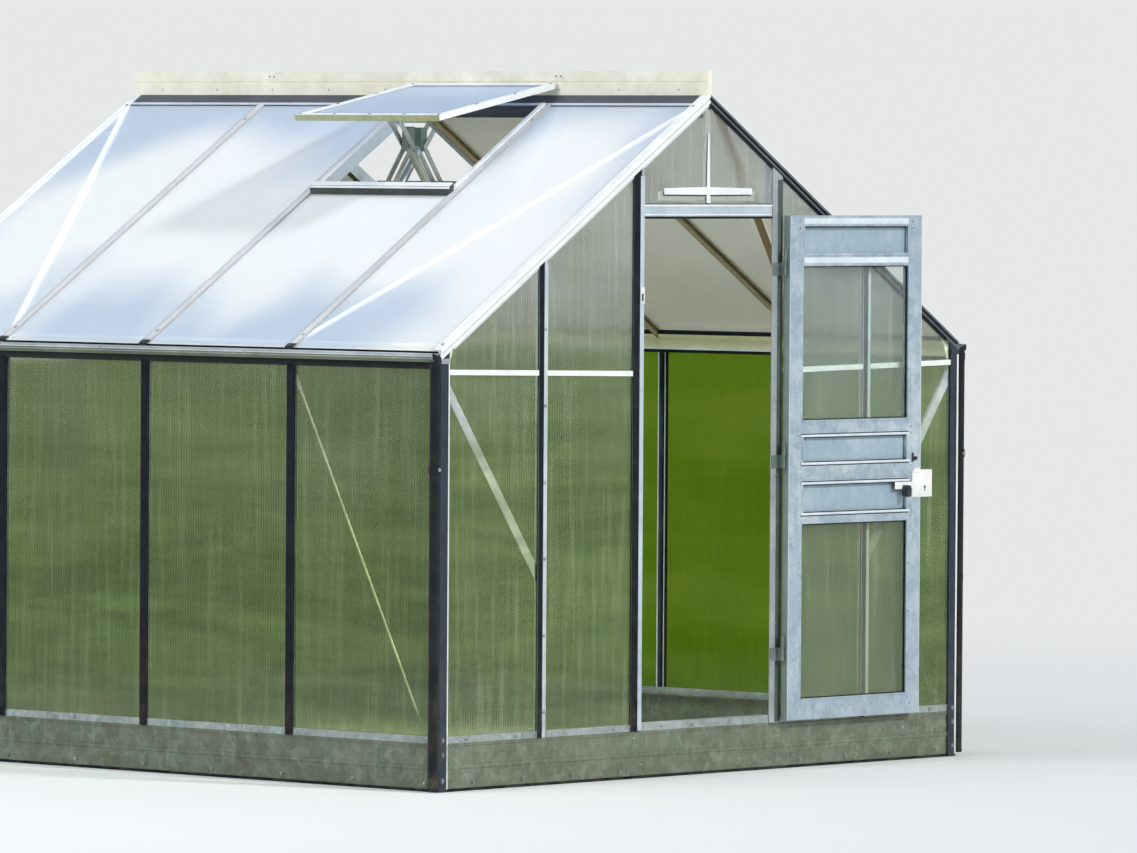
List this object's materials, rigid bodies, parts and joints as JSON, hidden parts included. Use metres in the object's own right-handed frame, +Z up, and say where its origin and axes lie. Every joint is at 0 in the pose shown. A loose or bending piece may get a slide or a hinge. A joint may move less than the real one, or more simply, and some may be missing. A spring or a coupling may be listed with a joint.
{
  "type": "greenhouse",
  "caption": "Ridge greenhouse on a low metal kerb: slim metal bars, fluted clear sheets, roof vents propped open and a hinged panelled door swung flat against the gable",
  "frame": {"origin": "on the ground, under the middle of the part's overall box with the door swung open", "axes": "+X to the right along the door gable seen from outside, +Y from the door gable to the back, +Z up"},
  "size_m": [2.486, 2.5234, 2.151],
  "materials": {
    "aluminium": "mill-finish extruded bars, lightly weathered",
    "galvanised": "zinc-coated sheet steel, dull",
    "kerb": "zinc-coated kerb, greenish grey and splashed",
    "dark_metal": "dark coated metal",
    "dark_plastic": "black plastic, satin",
    "rubber": "dark glazing strip",
    "twin_wall": "twin-wall polycarbonate sheet, milky clear, fluted"
  },
  "bodies": {
    "greenhouse": {"corner_posts": "galvanised", "side_posts": "aluminium", "front_studs": "aluminium", "back_studs": "aluminium", "door_post_left": "aluminium", "door_post_right": "aluminium", "door_lintel": "aluminium", "eave_rails": "galvanised", "gutter_left": "aluminium", "gutter_right": "aluminium", "downpipes": "dark_plastic", "verges_left": "aluminium", "verges_right": "aluminium", "ridge_beam": "dark_metal", "ridge_crest": "aluminium", "roof_bars_left": "aluminium", "roof_bars_right": "aluminium", "side_sheets": "twin_wall", "front_sheets_low": "twin_wall", "front_sheets_high": "twin_wall", "front_sheet_top": "twin_wall", "back_sheets": "twin_wall", "crossbars": "aluminium", "top_mullion": "aluminium", "roof_sheets_left": "twin_wall", "roof_sheets_right": "twin_wall", "vent_sills": "dark_metal", "vent_curbs": "aluminium", "vent_frames": "aluminium", "vent_sheets": "twin_wall", "opener_brackets": "galvanised", "opener_arms": "galvanised", "opener_bodies": "dark_metal", "opener_cylinders": "aluminium", "gable_braces": "galvanised", "side_braces": "galvanised", "roof_braces": "galvanised", "gussets": "galvanised", "cover_strips": "rubber", "kerb_ends": "kerb", "kerb_sides": "kerb", "sill_ends": "galvanised", "sill_sides": "galvanised", "door_catch": "dark_metal", "hinge_pins": "dark_metal"},
    "door": {"door_stiles": "galvanised", "door_rails": "galvanised", "door_sheets": "galvanised", "door_panes": "twin_wall", "door_latch": "galvanised", "door_handle": "dark_plastic", "door_hinges": "dark_metal"}
  },
  "joints": [
    {"name": "door_hinge", "type": "hinge", "parent": "greenhouse", "child": "door", "pos_m": [0.334, -1.22325, 0.93], "axis": [0, 0, -1], "range_deg": [0, 180]}
  ]
}
